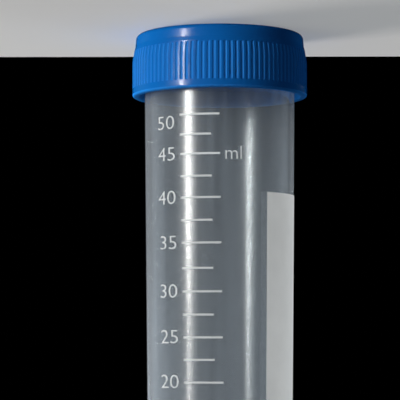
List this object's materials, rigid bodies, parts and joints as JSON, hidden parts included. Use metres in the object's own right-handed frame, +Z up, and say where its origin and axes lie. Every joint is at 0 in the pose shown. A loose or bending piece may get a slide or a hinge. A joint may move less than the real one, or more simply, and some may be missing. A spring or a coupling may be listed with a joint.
{
  "type": "conical centrifuge tube",
  "caption": "Graduated conical centrifuge tube with a ribbed screw cap, standing upside down on its flat cap.",
  "frame": {"origin": "centre of the cap's flat top, which is what the closed tube stands on", "axes": "+Z up the common axis from the cap to the tip of the cone; the printed scale faces -Y"},
  "size_m": [0.0346, 0.0346, 0.1147],
  "materials": {
    "cap_plastic": "blue moulded polypropylene, satin gloss",
    "tube_plastic": "natural polypropylene, clear with a faint milky haze, polished",
    "white_ink": "matt white screen-print ink"
  },
  "bodies": {
    "cap": {"screw_cap": "cap_plastic"},
    "tube": {"tube_body": "tube_plastic", "graduation_lines": "white_ink", "writing_panel": "white_ink"}
  },
  "joints": [
    {"name": "tube_lift", "type": "slide", "parent": "cap", "child": "tube", "axis": [0, 0, 1], "range_m": [0, 0.04]}
  ]
}
